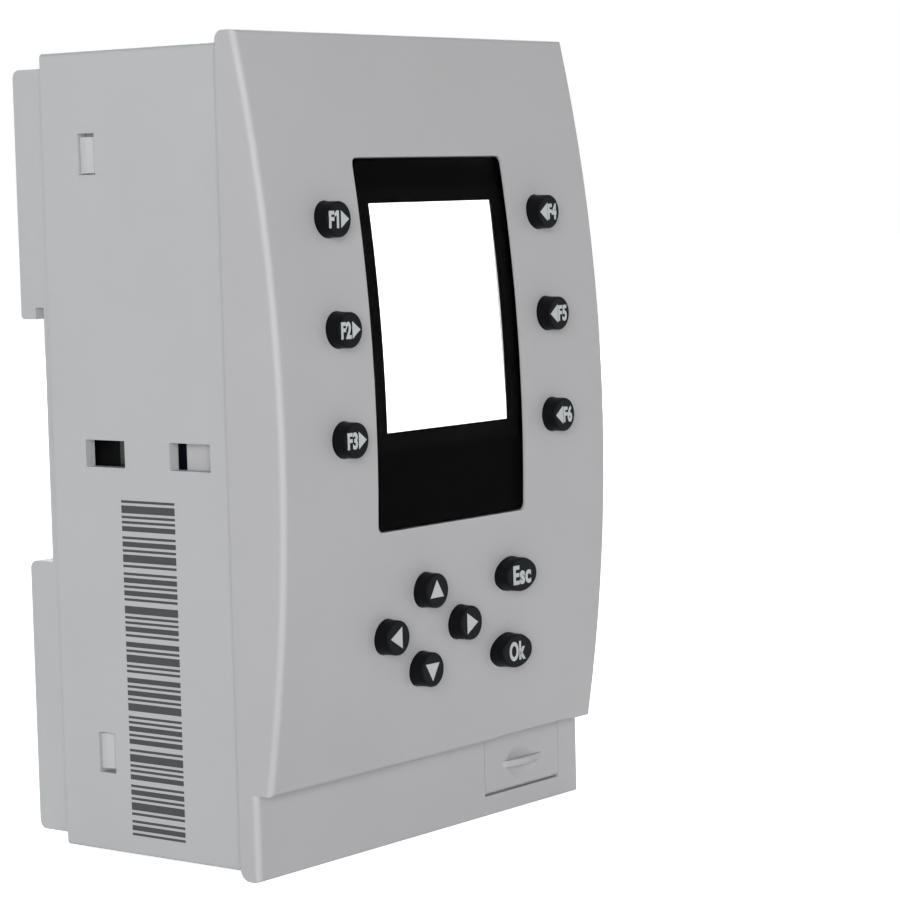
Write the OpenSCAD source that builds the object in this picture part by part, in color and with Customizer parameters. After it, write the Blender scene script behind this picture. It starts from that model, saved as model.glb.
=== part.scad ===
// Programmable logic relay for a 35 mm rail, in millimetres.
// The front faces -Y and the rail side faces +Y. Heights are measured from the
// underside of the sleeve, and depths from the plane where the cover meets it.

/* [Sleeve] */
// Width of the sleeve, four modules of 18 mm
body_w = 72; // [71:0.5:90]
// Height of the sleeve
body_h = 112; // [111:0.5:124]
// Depth of the sleeve
body_d = 34; // [33:0.5:44]
// Wall of the sleeve
wall = 1.75; // [1.4:0.05:2]
// Rounding of the sleeve's long edges
sleeve_r = 0.6; // [0.3:0.1:1]

/* [Side windows] */
// Width of a snap window along the depth
snap_w = 3.2; // [2.8:0.1:3.8]
// Height of a snap window
snap_h = 5.7; // [5:0.1:7]
// Depth at which the snap windows end
snap_y = 27.1; // [26:0.1:28]
// Bottom of the lower snap windows
snap_low_z = 11.2; // [9:0.1:13]
// Distance of the upper snap windows from the sleeve's top
snap_top_gap = 11.3; // [9:0.1:13]
// Width of a square window along the depth
square_w = 7.5; // [6:0.1:8]
// Height of a square window
square_h = 3.8; // [3:0.1:5]
// Bottom of the square windows
square_z = 54.4; // [50:0.1:58]
// Front edge of the front square window
square_front_y = 4.1; // [3.5:0.1:5]
// Front edge of the rear square window
square_rear_y = 20.1; // [18:0.1:21]

/* [Cover] */
// How far the cover stands out past each side of the sleeve
rim_side = 1; // [0.5:0.1:1.5]
// How far the cover stands above the sleeve
rim_top = 1.5; // [0.8:0.1:2]
// How far the cover reaches below the sleeve
rim_foot = 1; // [0.8:0.1:1.8]
// Wall of the cover
cover_t = 2.2; // [1.9:0.1:2.5]
// Depth of the cover at the crown of its curve
bulge = 9.8; // [9.6:0.1:11]
// Radius of the curved face
bulge_r = 255; // [240:5:300]
// Height of the crown of the curve
bulge_z = 56; // [54:0.5:60]
// Rounding between the face and the sides
cover_fillet = 0.9; // [0.4:0.1:1.2]
// Rounding of the face's top edge and lip
lip_fillet = 0.7; // [0.3:0.1:1]
// Rounding of the cover's top rear edge
rear_top_r = 1.3; // [0.5:0.1:1.5]
// Rounding of the cover's bottom rear edge
rear_foot_r = 1.7; // [0.5:0.1:2]
// Height of the lip over the recessed foot
step_z = 11; // [10.5:0.1:12]
// Depth of the cover at its recessed foot
step_depth = 3.3; // [3.1:0.1:3.8]
// Thickness of the cover's tongues
tongue_t = 1.4; // [1.2:0.1:1.8]
// Length of the side tongues inside the sleeve
side_tongue = 10.1; // [9:0.1:11]
// Height of the side tongues
side_tongue_h = 22; // [14:0.5:26]
// Length of the top and bottom tongues inside the sleeve
end_tongue = 5; // [4:0.1:6]
// Width of the top and bottom tongues
end_tongue_w = 16; // [10:0.5:24]
// Height of the barbs on the top and bottom tongues
barb_h = 0.5; // [0.3:0.05:0.7]

/* [Display] */
// Sideways place of the display and keys
layout_x = -0.4; // [-1:0.1:1]
// Width of the display opening
display_w = 33.8; // [32:0.1:35]
// Height of the display opening
display_h = 51.6; // [48:0.1:52]
// Height of the display's middle
display_z = 70.6; // [70:0.1:71.5]
// Corner rounding of the display opening
display_r = 1; // [0.5:0.1:2]
// How far the lens lies below the face
lens_sink = 0.25; // [0.15:0.05:0.5]
// Thickness of the lens
lens_t = 0.8; // [0.7:0.05:1.4]
// Thickness of the printed mask behind the lens
mask_t = 0.2; // [0.1:0.05:0.3]
// Width of the ledge that carries the lens
ledge_w = 1.4; // [1:0.1:1.5]
// Depth of the ledge's back below the face
ledge_depth = 3; // [2.9:0.1:3.3]
// Width of the mask's window
window_w = 27.6; // [25:0.1:28.5]
// Height of the mask's window
window_h = 31.7; // [30:0.1:33]
// Sideways place of the window in the mask
window_x = 0.4; // [0:0.1:0.5]
// Height of the window's middle
window_z = 74.2; // [73.5:0.1:74.5]
// Width of the screen module
screen_w = 30; // [29:0.1:30.2]
// Height of the screen module
screen_h = 38; // [36:0.1:38.5]
// Thickness of the screen module
screen_t = 2.2; // [1.8:0.1:2.4]
// Edge of the screen module around its picture
screen_edge = 0.6; // [0.4:0.1:0.8]

/* [Keys] */
// Diameter of a round key
key_d = 4.9; // [4.4:0.05:5]
// Length of an oval key
oval_w = 7.15; // [6.4:0.05:7.4]
// End radius of an oval key
oval_end_r = 1.75; // [1.6:0.05:1.9]
// How far a key stands out of the face
key_proud = 2.35; // [1.5:0.05:2.6]
// Edge rounding of a key
key_round = 0.25; // [0.2:0.05:0.5]
// Clearance round a key
key_gap = 0.12; // [0.1:0.01:0.2]
// Travel of a key
key_travel = 0.5; // [0.3:0.05:0.6]
// Distance of a function key from the display's middle line
side_key_x = 23.86; // [23.2:0.02:24.6]
// Height of the lowest function keys
side_key_z = 58.3; // [57:0.1:60]
// Spacing of the function keys
side_key_pitch = 14.9; // [14:0.1:15.5]
// Sideways place of the arrow keys' middle
arrow_x = -6.3; // [-7.5:0.1:-5]
// Height of the arrow keys' middle
arrow_z = 30.1; // [29:0.1:31]
// Half the spacing of the left and right keys
arrow_half_w = 8.28; // [8:0.02:9]
// Half the spacing of the up and down keys
arrow_half_h = 5.64; // [5.5:0.02:6]
// Sideways place of the two oval keys
oval_x = 13.55; // [12.8:0.05:14.5]
// Radius of a key's flange
flange_r = 3.3; // [3.1:0.05:3.4]
// Thickness of a key's flange
flange_t = 0.8; // [0.6:0.05:0.9]
// Wall of a key's guide tube
guide_t = 1; // [0.8:0.05:1.1]
// Depth of the plane where the guide tubes end
guide_y = -5; // [-5.2:0.05:-4.9]
// Radius of a key's stem
stem_r = 1; // [0.8:0.05:1.2]

/* [Port] */
// Left edge of the port cover
port_x = 13.35; // [12.5:0.05:14]
// Width of the port cover's opening
port_w = 18.5; // [17.5:0.1:19]
// Bottom of the port cover's opening
port_z = 2.05; // [1.9:0.05:2.4]
// Height of the notch in the lip above the port cover
notch_h = 0.4; // [0.3:0.05:0.6]
// Gap round the port cover
port_gap = 0.1; // [0.08:0.01:0.16]
// Thickness of the port cover
flap_t = 1.2; // [1.1:0.05:1.3]
// Radius of the port cover's hinge bead
bead_r = 0.9; // [0.8:0.05:0.95]
// Radius of the hinge stubs
stub_r = 0.45; // [0.4:0.05:0.5]
// Length of a hinge stub
stub_l = 0.9; // [0.6:0.1:1.2]
// Clearance of the hinge stubs
stub_gap = 0.05; // [0.04:0.01:0.1]
// Length of the finger ridge
ridge_w = 9.6; // [8:0.1:11]
// How far the finger ridge stands out
ridge_d = 0.8; // [0.5:0.1:1]
// Thickness of the finger ridge
ridge_t = 0.9; // [0.7:0.1:1.2]
// Height of the finger ridge above the port cover's bottom
ridge_z = 4; // [3.8:0.1:4.2]
// Depth of the finger dish
dish_d = 0.6; // [0.4:0.05:0.7]
// Width of the jack's mouth
jack_w = 9.7; // [9:0.1:10.5]
// Height of the jack's mouth
jack_h = 5.8; // [5.4:0.1:6]
// Depth of the jack
jack_d = 10; // [9:0.5:10]
// Wall of the jack
jack_t = 0.9; // [0.8:0.05:1]

/* [Rail side] */
// Height of the lower block's top, where the rail recess starts
recess_z = 40.4; // [39:0.1:42]
// Thickness of the rail's edge
rail_t = 1; // [0.9:0.05:1.2]
// Height that the recess has over the rail's own
rail_play = 1.1; // [0.8:0.1:1.4]
// Height of the groove that holds the rail's upper edge
hook_h = 1.6; // [1.4:0.1:2]
// Depth of that groove
hook_d = 1.6; // [1.4:0.1:1.8]
// Thickness of the rear plate behind the sleeve
floor_t = 2; // [1.8:0.1:2.4]
// Depth of the two blocks behind the rear plate
block_d = 4.5; // [4.4:0.1:6]
// How far the blocks are set in from the sleeve's sides
block_inset = 1; // [0.8:0.1:1.4]
// Height of the lower block's underside
block_low = 1.5; // [1.2:0.1:2]
// Distance of the upper block's top from the sleeve's top
block_top_gap = 2; // [1.6:0.1:3]
// Rounding of the blocks' outer corners
block_r = 1.2; // [0.6:0.1:1.6]
// Wall of the blocks
block_wall = 1.8; // [1.5:0.1:2]
// Depth of the collar inside the sleeve
collar_d = 3; // [2.5:0.1:4]
// Thickness of the snap arms
arm_t = 1.5; // [1.2:0.1:1.8]

/* [Rail clip] */
// Width of the clip's rib
clip_w = 20; // [16:0.5:24]
// Width of each wing that guides the clip
wing_w = 2; // [1.5:0.1:3]
// Thickness of the clip's wings
wing_t = 1.2; // [1:0.1:1.4]
// Gap round the clip
clip_gap = 0.3; // [0.2:0.05:0.4]
// How far the clip reaches over the rail's lower edge
clip_reach = 2; // [1.6:0.1:2.4]
// Travel of the clip
clip_travel = 3.5; // [3:0.1:4]
// Wire of the clip's spring
spring_wire = 0.5; // [0.4:0.05:0.6]
// Mean radius of the clip's spring
spring_r = 1; // [0.9:0.05:1.1]
// Length of the clip's spring at rest
spring_l = 12; // [10:0.5:14]
// Turns of the clip's spring
spring_turns = 6; // [4:1:8]

/* [Boards] */
// Thickness of both boards
board_t = 1.6; // [1.2:0.1:1.8]
// Depth of the front board's face
front_board_y = -1.6; // [-1.7:0.05:-1.5]
// Depth of the main board's face
main_board_y = 22; // [21.5:0.1:22.5]
// Gap between the main board and the sleeve
board_gap = 1; // [0.6:0.1:1.4]
// Radius of a screw boss
boss_r = 2.6; // [2.2:0.1:2.8]
// Distance of the screws from the sleeve's sides
screw_side = 6.7; // [6.6:0.1:7.2]
// Height of the front board's lower screws
screw_low_z = 19; // [18:0.5:20]
// Distance of the front board's upper screws from the sleeve's top
screw_top_gap = 8.5; // [8:0.1:9.5]
// Distance of the main board's screws from the sleeve's top and bottom
main_screw_z = 24.5; // [24:0.5:27]
// Radius of a board screw's shank
screw_r = 1; // [0.8:0.05:1.1]
// Radius of a board screw's head
screw_head_r = 2; // [1.8:0.05:2.2]
// Width of a key switch
switch_w = 5.2; // [5:0.1:5.6]
// Height of a key switch
switch_h = 1.8; // [1.6:0.05:1.9]

/* [Terminals] */
// Poles of each terminal plug
poles = 12; // [8:1:12]
// Spacing of the poles
pitch = 5.08; // [5:0.02:5.08]
// Depth of a terminal plug
plug_d = 9.6; // [9:0.1:10]
// Height of a terminal plug
plug_h = 18; // [16:0.5:19]
// How far a plug lies below the sleeve's outside
plug_sink = 0.6; // [0.4:0.1:1]
// Wall of a terminal header
header_t = 0.8; // [0.6:0.1:1]
// Height of a terminal header
header_h = 10.5; // [9:0.5:12]
// Gap between a plug and its header
plug_gap = 0.2; // [0.1:0.05:0.3]
// Radius of a terminal screw's head
term_screw_r = 1.6; // [1.4:0.05:1.7]
// Width of a wire mouth
mouth_w = 3.7; // [3.2:0.1:3.8]
// Size of a header pin
pin_w = 1; // [0.8:0.05:1.1]

/* [Components] */
// Width of a relay
relay_w = 10.2; // [9.6:0.1:10.6]
// Height of a relay along the board
relay_l = 18.4; // [17:0.1:18.6]
// Depth of a relay
relay_d = 15.3; // [13:0.1:16]
// Radius of a capacitor
cap_r = 5; // [4:0.1:5]
// Depth of a capacitor
cap_d = 14; // [12:0.5:16]
// Side of the transformer's square core
core_w = 16; // [15:0.1:16]
// Depth of the transformer's core
core_d = 11.5; // [10:0.1:12]
// Side of an optocoupler
opto_w = 4.6; // [4.2:0.1:4.8]
// Depth of an optocoupler
opto_d = 3.2; // [2.8:0.1:3.6]
// Side of the controller chip
chip_w = 12; // [10:0.5:12]
// Thickness of the controller chip
chip_t = 1.3; // [1:0.1:1.6]
// Width of the supply block
supply_w = 32; // [28:0.5:34]
// Height of the supply block
supply_h = 24; // [20:0.5:26]
// Depth of the supply block
supply_d = 9; // [7:0.1:9.2]
// Wall of the supply block round its potting
supply_wall = 1.2; // [0.8:0.1:1.6]
// Spacing of the pins that link the boards
link_pitch = 2.54; // [2.5:0.01:2.56]
// Width of a link pin
link_pin = 0.64; // [0.5:0.02:0.7]
// Spacing of the port's contacts
contact_pitch = 1.27; // [1.2:0.01:1.3]
// Width of a port contact
contact_w = 0.4; // [0.3:0.05:0.5]

/* [Hidden] */

// Sleeve and cover
half_w = body_w / 2;
inner_w = half_w - wall;
cover_half = half_w + rim_side;
cover_in = cover_half - cover_t;
cover_top = body_h + rim_top;
arc_y = bulge_r - bulge;
seat_gap = 0.15;
liner_w = inner_w - seat_gap;
tongue_z = square_z + square_h / 2;
cut = 0.1;
root = 0.3;
blend = 0.01;
fillet_steps = 6;
fine = 720;
$fn = 64;

// Display
pocket = lens_sink + lens_t + mask_t;
hole_w = display_w - 2 * ledge_w;
hole_h = display_h - 2 * ledge_w;
ledge_rim = 1.5;
screen_low = window_z - screen_h / 2;
screen_high = window_z + screen_h / 2;
screen_slope = (face_y(screen_high) - face_y(screen_low)) / screen_h;
screen_tilt = atan(screen_slope);
screen_gap = 0.1;
screen_y = (face_y(screen_low, pocket) + face_y(screen_high, pocket)) / 2 + screen_gap;

// Keys, each with its place across, its height and its length
oval_half = oval_w / 2;
left_x = layout_x - side_key_x;
right_x = layout_x + side_key_x;
cross_x = layout_x + arrow_x;
pair_x = layout_x + oval_x;
KEYS = [
  ["key_f1", left_x, side_key_z + 2 * side_key_pitch, key_d],
  ["key_f2", left_x, side_key_z + side_key_pitch, key_d],
  ["key_f3", left_x, side_key_z, key_d],
  ["key_f4", right_x, side_key_z + 2 * side_key_pitch, key_d],
  ["key_f5", right_x, side_key_z + side_key_pitch, key_d],
  ["key_f6", right_x, side_key_z, key_d],
  ["key_up", cross_x, arrow_z + arrow_half_h, key_d],
  ["key_left", cross_x - arrow_half_w, arrow_z, key_d],
  ["key_right", cross_x + arrow_half_w, arrow_z, key_d],
  ["key_down", cross_x, arrow_z - arrow_half_h, key_d],
  ["key_esc", pair_x, arrow_z + arrow_half_h, oval_w],
  ["key_ok", pair_x, arrow_z - arrow_half_h, oval_w]];
switch_y = front_board_y - switch_h;
stem_y = switch_y + 0.8;
well_y = stem_y + key_travel + 0.2;

// Port
port_mid = port_x + port_w / 2;
port_top = step_z + notch_h;
bead_y = -step_depth + bead_r;
bead_z = port_z + port_gap + bead_r;
inner_foot_y = -step_depth + cover_t;
nose = port_gap / 2;
dish_h = 3;
jack_z = port_z + 1.5;
jack_out = jack_w + 2 * jack_t;

// Rail side
rail_h = 35;
floor_y = body_d + floor_t;
rear_y = floor_y + block_d;
block_half = half_w - block_inset;
block_top = body_h - block_top_gap;
hook_z = recess_z + rail_h + rail_play - hook_h;
hook_top = hook_z + hook_h;
clip_y = floor_y + rail_t + 0.2;
clip_rear = rear_y - clip_gap;
wing_half = clip_w / 2 + wing_w;
rail_low = recess_z + rail_play - 0.2;
clip_top = rail_low + clip_reach;
clip_low = block_low + clip_travel + 0.3;
spring_z = 16;
spring_y = clip_y + spring_r + spring_wire / 2 + clip_gap;
peg_t = 2;
slot_half = spring_r + spring_wire / 2 + 0.9;
collar_y = body_d - collar_d;
snap_top_z = body_h - snap_top_gap - snap_h;

// Boards
board_half = liner_w - tongue_t - 0.4;
board_low = step_z + cover_t + 0.6;
board_full = body_h - wall - seat_gap - tongue_t - 0.4;
face_room = bulge_z + sqrt(pow(bulge_r - cover_t, 2) - pow(arc_y - front_board_y + 0.4, 2));
board_high = min(board_full, face_room);
screw_high_z = body_h - screw_top_gap - (board_full - board_high);
screw_x = half_w - screw_side;
main_back = main_board_y + board_t;
main_half = inner_w - board_gap;
arm_y = max(main_back + 0.3, snap_y - snap_w);
head_t = 1.3;
pilot = 0.05;
front_bite = 2;
main_bite = 6;

// Terminals
row_w = poles * pitch;
header_d = plug_d + 2 * (header_t + plug_gap);
header_y = main_board_y - header_d;
plug_y = header_y + header_t + plug_gap;
plug_top_z = body_h - plug_sink;
plug_low_z = plug_top_z - plug_h;
header_floor = 1;
header_z = plug_low_z - plug_gap - header_floor;
screw_row_y = plug_y + plug_d - 2.2;
mouth_y = plug_y + 1.2;
mouth_d = 3.9;
mouth_h = 9;
term_well = 3;
term_head_t = 1.6;
term_shank = 5;
pin_tail = 2;
pin_reach = 6;
pin_y = plug_y + plug_d / 2 - 0.6;

// Components
relay_cols = 4;
relay_gap = 1.3;
relay_step = relay_w + relay_gap;
cap_x = liner_w - tongue_t - 0.7 - cap_r;
relay_x = cap_x - cap_r - 2.9 - relay_w / 2 - (relay_cols - 1) * relay_step;
stack_room = header_z - header_z_low() - 2 * relay_l - core_w - opto_w;
ease = stack_room / 15;
relay_z = header_z_low() + 2.5 * ease;
relay_row = relay_l + 1.3 * ease;
parts_z = relay_z + 2 * relay_row + 2 * ease;
limb = 2.2;
window_half = core_w / 2 - limb;
core_lift = 1.5;
opto_z = parts_z + core_w + 2.5 * ease;
opto_count = 9;
opto_pitch = 5.5;
chip_x = 2;
chip_z = 56;
supply_x = -(liner_w - block_wall - 0.5);
supply_z = square_z + square_h / 2;
link_x = -24;
link_count = 8;
link_z = parts_z + 6;
link_half = 1.3;
link_bar_t = 2.5;
link_pin_y = 4;
link_end_y = 8.5;

// Origin at the bottom middle of the whole part
key_front = min([for (k = KEYS) face_y(k[2])]) - key_proud;
origin_y = (rear_y + key_front) / 2;

// Depth of the curved face at a height, or of a surface sunk below it
function face_y(z, sunk = 0) = arc_y - sqrt(pow(bulge_r - sunk, 2) - pow(z - bulge_z, 2));

// Upper end of the bottom terminal header
function header_z_low() = body_h - header_z;

// Points of a side fillet's arc from one angle to another
function fillet_arc(a0, a1) = [for (i = [0 : fillet_steps])
  let (a = a0 + (a1 - a0) * i / fillet_steps) cover_fillet * [cos(a), sin(a)]];

module part_frame() translate([0, -origin_y, rim_foot]) children();

module block(low, high) translate(low) cube(high - low);

// Extrudes a profile of depth and height along the width
module along_x(w) rotate([90, 0, 90]) linear_extrude(w, center = true) children();

// Extrudes an outline of width and height from one depth to another
module along_y(y0, y1) translate([0, y1, 0]) rotate([90, 0, 0]) linear_extrude(y1 - y0) children();

module rod_y(x, z, r, y0, y1) translate([x, y1, z]) rotate([90, 0, 0]) cylinder(r = r, h = y1 - y0);

module both_sides() for (side = [0, 1]) mirror([side, 0, 0]) children();

// Mirrors a top terminal piece to the bottom of the sleeve
module at_bottom() translate([0, 0, body_h]) mirror([0, 0, 1]) children();

module round_rect(w, h, r) {
  square([w - 2 * r, h], center = true);
  square([w, h - 2 * r], center = true);
  for (x = [-1, 1], z = [-1, 1]) translate([x * (w / 2 - r), z * (h / 2 - r)]) circle(r);
}

// What a fillet takes off an outer corner
module nick(at, sx, sy, r) translate(at) difference() {
  translate([sx > 0 ? -r : -cut, sy > 0 ? -r : -cut]) square(r + cut);
  translate([-sx * r, -sy * r]) circle(r);
}

// What a fillet takes off the corner between the curved face and a level edge. Its arc
// crosses both faces by a hair's breadth, because a true tangent is cut badly.
module face_nick(edge_z, up) {
  sunk = lip_fillet - blend;
  mid_z = edge_z - up * sunk;
  mid = [face_y(mid_z, sunk), mid_z];
  out = ([arc_y, bulge_z] - mid) / norm([arc_y, bulge_z] - mid);
  far = [arc_y, bulge_z] - out * (bulge_r + 1);
  difference() {
    polygon([mid, [mid[0], edge_z + up], [far[0] - 1, edge_z + up], far]);
    translate(mid) circle(lip_fillet);
  }
}

// Solid whose front is the curved face, sunk by a depth
module face_drum(sunk, w) translate([0, arc_y, bulge_z]) rotate([0, 90, 0])
  cylinder(r = bulge_r - sunk, h = w, center = true, $fn = fine);

// The curved face with its sides rounded over in a few narrow cones, which mesh evenly
module round_drum() translate([0, arc_y, bulge_z]) rotate([0, 90, 0]) rotate_extrude($fn = fine)
  translate([bulge_r - cover_fillet, 0]) polygon(concat([[-20, cover_half], [-20, -cover_half]],
    [for (p = fillet_arc(-90, 0)) p - [0, cover_half - cover_fillet]],
    [for (p = fillet_arc(0, 90)) p + [0, cover_half - cover_fillet]]));

module face_block() difference() {
  intersection() {
    round_drum();
    block([-half_w - 9, -20, step_z], [half_w + 9, 0, cover_top]);
  }
  along_x(2 * cover_half + 2) {
    nick([0, cover_top], 1, 1, rear_top_r);
    face_nick(cover_top, 1);
    face_nick(step_z, -1);
  }
}

module foot_block() intersection() {
  translate([0, 0, -rim_foot]) linear_extrude(rim_foot + step_z + cover_t) difference() {
    translate([-cover_half, -step_depth]) square([2 * cover_half, step_depth]);
    for (s = [-1, 1]) nick([s * cover_half, -step_depth], s, -1, cover_fillet);
  }
  along_x(2 * cover_half + 2) difference() {
    translate([-step_depth, -rim_foot]) square([step_depth, 2 * step_z]);
    nick([0, -rim_foot], 1, -1, rear_foot_r);
    nick([-step_depth, -rim_foot], -1, -1, lip_fillet);
  }
}

module cover_hollow() {
  intersection() {
    face_drum(cover_t, 2 * cover_in);
    block([-cover_in, -20, step_z + cover_t], [cover_in, cut, cover_top - cover_t]);
  }
  block([-cover_in, inner_foot_y, cover_t - rim_foot], [cover_in, cut, step_z + cover_t + cut]);
}

// Oval of four arcs, with its ends along the width. The long arcs stop a little short of where
// they would be tangent to the ends, because a true tangent is cut badly.
module oval(a, b, r) {
  c = a - r;
  k = (c * c - pow(b - r, 2)) / (2 * (b - r));
  big = b + k;
  reach = big * c / norm([c, k]) - 0.2;
  for (s = [-1, 1]) translate([s * c, 0]) circle(r);
  intersection() {
    translate([0, -k]) circle(big, $fn = 180);
    translate([0, k]) circle(big, $fn = 180);
    square([2 * reach, 4 * b], center = true);
  }
}

// Outline of a key, grown by a gap
module key_outline(long, grow) {
  if (long > key_d) oval(long / 2 + grow, key_d / 2 + grow, oval_end_r + grow);
  else circle(key_d / 2 + grow);
}

// Keeps what lies inside the cover's wall, rooted in it
module inside_face() intersection() {
  children();
  face_drum(cover_t - root, 2 * cover_in);
}

module key_places() for (k = KEYS) translate([k[1], 0, k[2]]) children();

module front_screws() for (x = [-screw_x, screw_x], z = [screw_low_z, screw_high_z])
  translate([x, 0, z]) children();

module main_screws() for (x = [-screw_x, screw_x], z = [main_screw_z, body_h - main_screw_z])
  translate([x, 0, z]) children();

module display_outline(w, h, r) translate([layout_x, display_z]) round_rect(w, h, r);

// Tongues that slide into the sleeve, the end ones with a barb
module side_tongues() both_sides() {
  low = tongue_z - side_tongue_h / 2;
  high = tongue_z + side_tongue_h / 2;
  block([liner_w - tongue_t, -4, low], [cover_in + root, 0, high]);
  block([liner_w - tongue_t, -cut, low], [liner_w, side_tongue, high]);
}

module end_tongue_profile() {
  square([end_tongue, tongue_t]);
  translate([end_tongue, tongue_t])
    polygon([[0, 0], [-1.2, barb_h], [-1.8, barb_h], [-1.8, -cut], [0, -cut]]);
}

module end_tongues() {
  top_z = body_h - wall - seat_gap;
  along_x(end_tongue_w) translate([-cut, top_z - tongue_t]) end_tongue_profile();
  block([-end_tongue_w / 2, -2, top_z - tongue_t], [end_tongue_w / 2, 0, cover_top - cover_t + root]);
  low_z = wall + seat_gap;
  along_x(end_tongue_w) translate([-cut, low_z + tongue_t]) mirror([0, 1]) end_tongue_profile();
  block([-end_tongue_w / 2, inner_foot_y - root, cover_t - rim_foot - root],
    [end_tongue_w / 2, 0, low_z + tongue_t]);
}

module port_opening() {
  block([port_x, -step_depth - 1, port_z], [port_x + port_w, 1, port_top]);
  along_y(-20, inner_foot_y) translate([port_mid, step_z - cut])
    polygon([[-port_w / 2 - 2, 0], [-port_w / 2 + 1, notch_h + cut],
      [port_w / 2 - 1, notch_h + cut], [port_w / 2 + 2, 0]]);
  translate([port_x - stub_l - stub_gap, bead_y, bead_z]) rotate([0, 90, 0])
    cylinder(r = stub_r + stub_gap, h = port_w + 2 * (stub_l + stub_gap));
}

module front_cover() color([0.66, 0.66, 0.67]) part_frame() {
  difference() {
    union() {
      difference() {
        union() {
          face_block();
          foot_block();
        }
        cover_hollow();
      }
      inside_face() {
        for (k = KEYS) translate([k[1], 0, k[2]]) along_y(-20, guide_y)
          key_outline(k[3], key_gap + guide_t);
      }
      inside_face() front_screws() rod_y(0, 0, boss_r, -20, front_board_y);
      difference() {
        inside_face() along_y(-20, 0)
          display_outline(display_w + 2 * ledge_rim, display_h + 2 * ledge_rim, display_r);
        face_drum(ledge_depth, 2 * cover_in);
      }
    }
    for (k = KEYS) translate([k[1], 0, k[2]]) along_y(-20, 0) key_outline(k[3], key_gap);
    front_screws() rod_y(0, 0, screw_r + pilot, front_board_y - front_bite - 0.3, 0);
    difference() {
      along_y(-20, 0) display_outline(display_w, display_h, display_r);
      face_drum(pocket, 2 * cover_half);
    }
    along_y(-20, 0) display_outline(hole_w, hole_h, display_r);
    port_opening();
  }
  side_tongues();
  end_tongues();
}

// Sheet that follows the face between two depths below it
module curved_sheet(near, far) difference() {
  intersection() {
    along_y(-20, 0) children();
    face_drum(near, 2 * cover_half);
  }
  face_drum(far, 2 * cover_half);
}

module display_lens() color([0.1, 0.1, 0.12, 0.6]) part_frame()
  curved_sheet(lens_sink, lens_sink + lens_t)
    display_outline(display_w - 2 * seat_gap, display_h - 2 * seat_gap, display_r);

module display_mask() color([0.02, 0.02, 0.02]) part_frame()
  curved_sheet(lens_sink + lens_t, pocket) difference() {
    display_outline(display_w - 2 * seat_gap, display_h - 2 * seat_gap, display_r);
    translate([layout_x + window_x, window_z]) square([window_w, window_h], center = true);
  }

// Places what lies on the tilted plane of the screen
module screen_frame() translate([layout_x + window_x / 2, screen_y, window_z])
  rotate([-screen_tilt, 0, 0]) children();

module screen_module() color([0.9, 0.9, 0.92]) part_frame() screen_frame() {
  block([-screen_w / 2, 0.3, -screen_h / 2], [screen_w / 2, screen_t, screen_h / 2]);
  block([-screen_w / 2 + screen_edge, 0, -screen_h / 2 + screen_edge],
    [screen_w / 2 - screen_edge, 0.3 + cut, screen_h / 2 - screen_edge]);
}

// Wedge tray that tilts the screen module to the face's slope
module screen_holder() color([0.93, 0.93, 0.9]) part_frame() difference() {
  back = [for (z = [-screen_h / 2, screen_h / 2])
    [screen_y + screen_t / cos(screen_tilt) + z * screen_slope, window_z + z]];
  translate([layout_x + window_x / 2, 0, 0]) along_x(screen_w) polygon([
    [front_board_y, back[0][1]], back[0], back[1], [front_board_y, back[1][1]]]);
  translate([layout_x + window_x / 2, 0, window_z]) along_y(-20, 0)
    round_rect(screen_w - 5, screen_h - 5, 2);
}

// Round head with a rounded edge, domed by the fillet
module round_head(h) rotate([90, 0, 0]) rotate_extrude() difference() {
  square([key_d / 2, h]);
  nick([key_d / 2, h], 1, 1, key_round);
}

// Points of an oval of four arcs, drawn in by an inset
function oval_points(long, inset) =
  let (c = long / 2 - oval_end_r, side = key_d / 2 - oval_end_r,
    k = (c * c - side * side) / (2 * side), turn = atan2(k, c),
    ends = oval_end_r - inset, big = key_d / 2 + k - inset, n = 12)
  concat(
    [for (i = [0 : n]) let (a = -turn + 2 * turn * i / n) [c, 0] + ends * [cos(a), sin(a)]],
    [for (i = [1 : n - 1]) let (a = turn + (180 - 2 * turn) * i / n) [0, -k] + big * [cos(a), sin(a)]],
    [for (i = [0 : n]) let (a = 180 - turn + 2 * turn * i / n) [-c, 0] + ends * [cos(a), sin(a)]],
    [for (i = [1 : n - 1]) let (a = 180 + turn + (180 - 2 * turn) * i / n)
      [0, k] + big * [cos(a), sin(a)]]);

// Oval head: plain below, and drawn in over its rounded edge, a hair inside the plain part
module oval_head(long, h) {
  steps = 4;
  along_y(-h + key_round, 0) key_outline(long, 0);
  hull() for (j = [0 : steps]) {
    a = 90 * j / steps;
    y = -h + key_round * (1 - sin(a));
    along_y(y, y + cut) polygon(oval_points(long, 0.02 + key_round * (1 - cos(a))));
  }
}

module key_cap(k) color([0.08, 0.08, 0.09]) part_frame() translate([k[1], guide_y, k[2]]) {
  head = guide_y - face_y(k[2]) + key_proud;
  if (k[3] > key_d) oval_head(k[3], head);
  else round_head(head);
  along_y(0, flange_t) key_outline(k[3], flange_r - key_d / 2);
  rod_y(0, 0, stem_r, 0, stem_y - guide_y);
}

module front_board() color([0.05, 0.25, 0.12]) part_frame() difference() {
  block([-board_half, front_board_y, board_low], [board_half, front_board_y + board_t, board_high]);
  front_screws() rod_y(0, 0, screw_r + 2 * pilot, front_board_y - 1, board_t);
}

module key_switches() color([0.15, 0.15, 0.16]) part_frame() key_places() difference() {
  block([-switch_w / 2, switch_y, -switch_w / 2], [switch_w / 2, front_board_y, switch_w / 2]);
  rod_y(0, 0, stem_r + key_gap, switch_y - 1, well_y);
}

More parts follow.
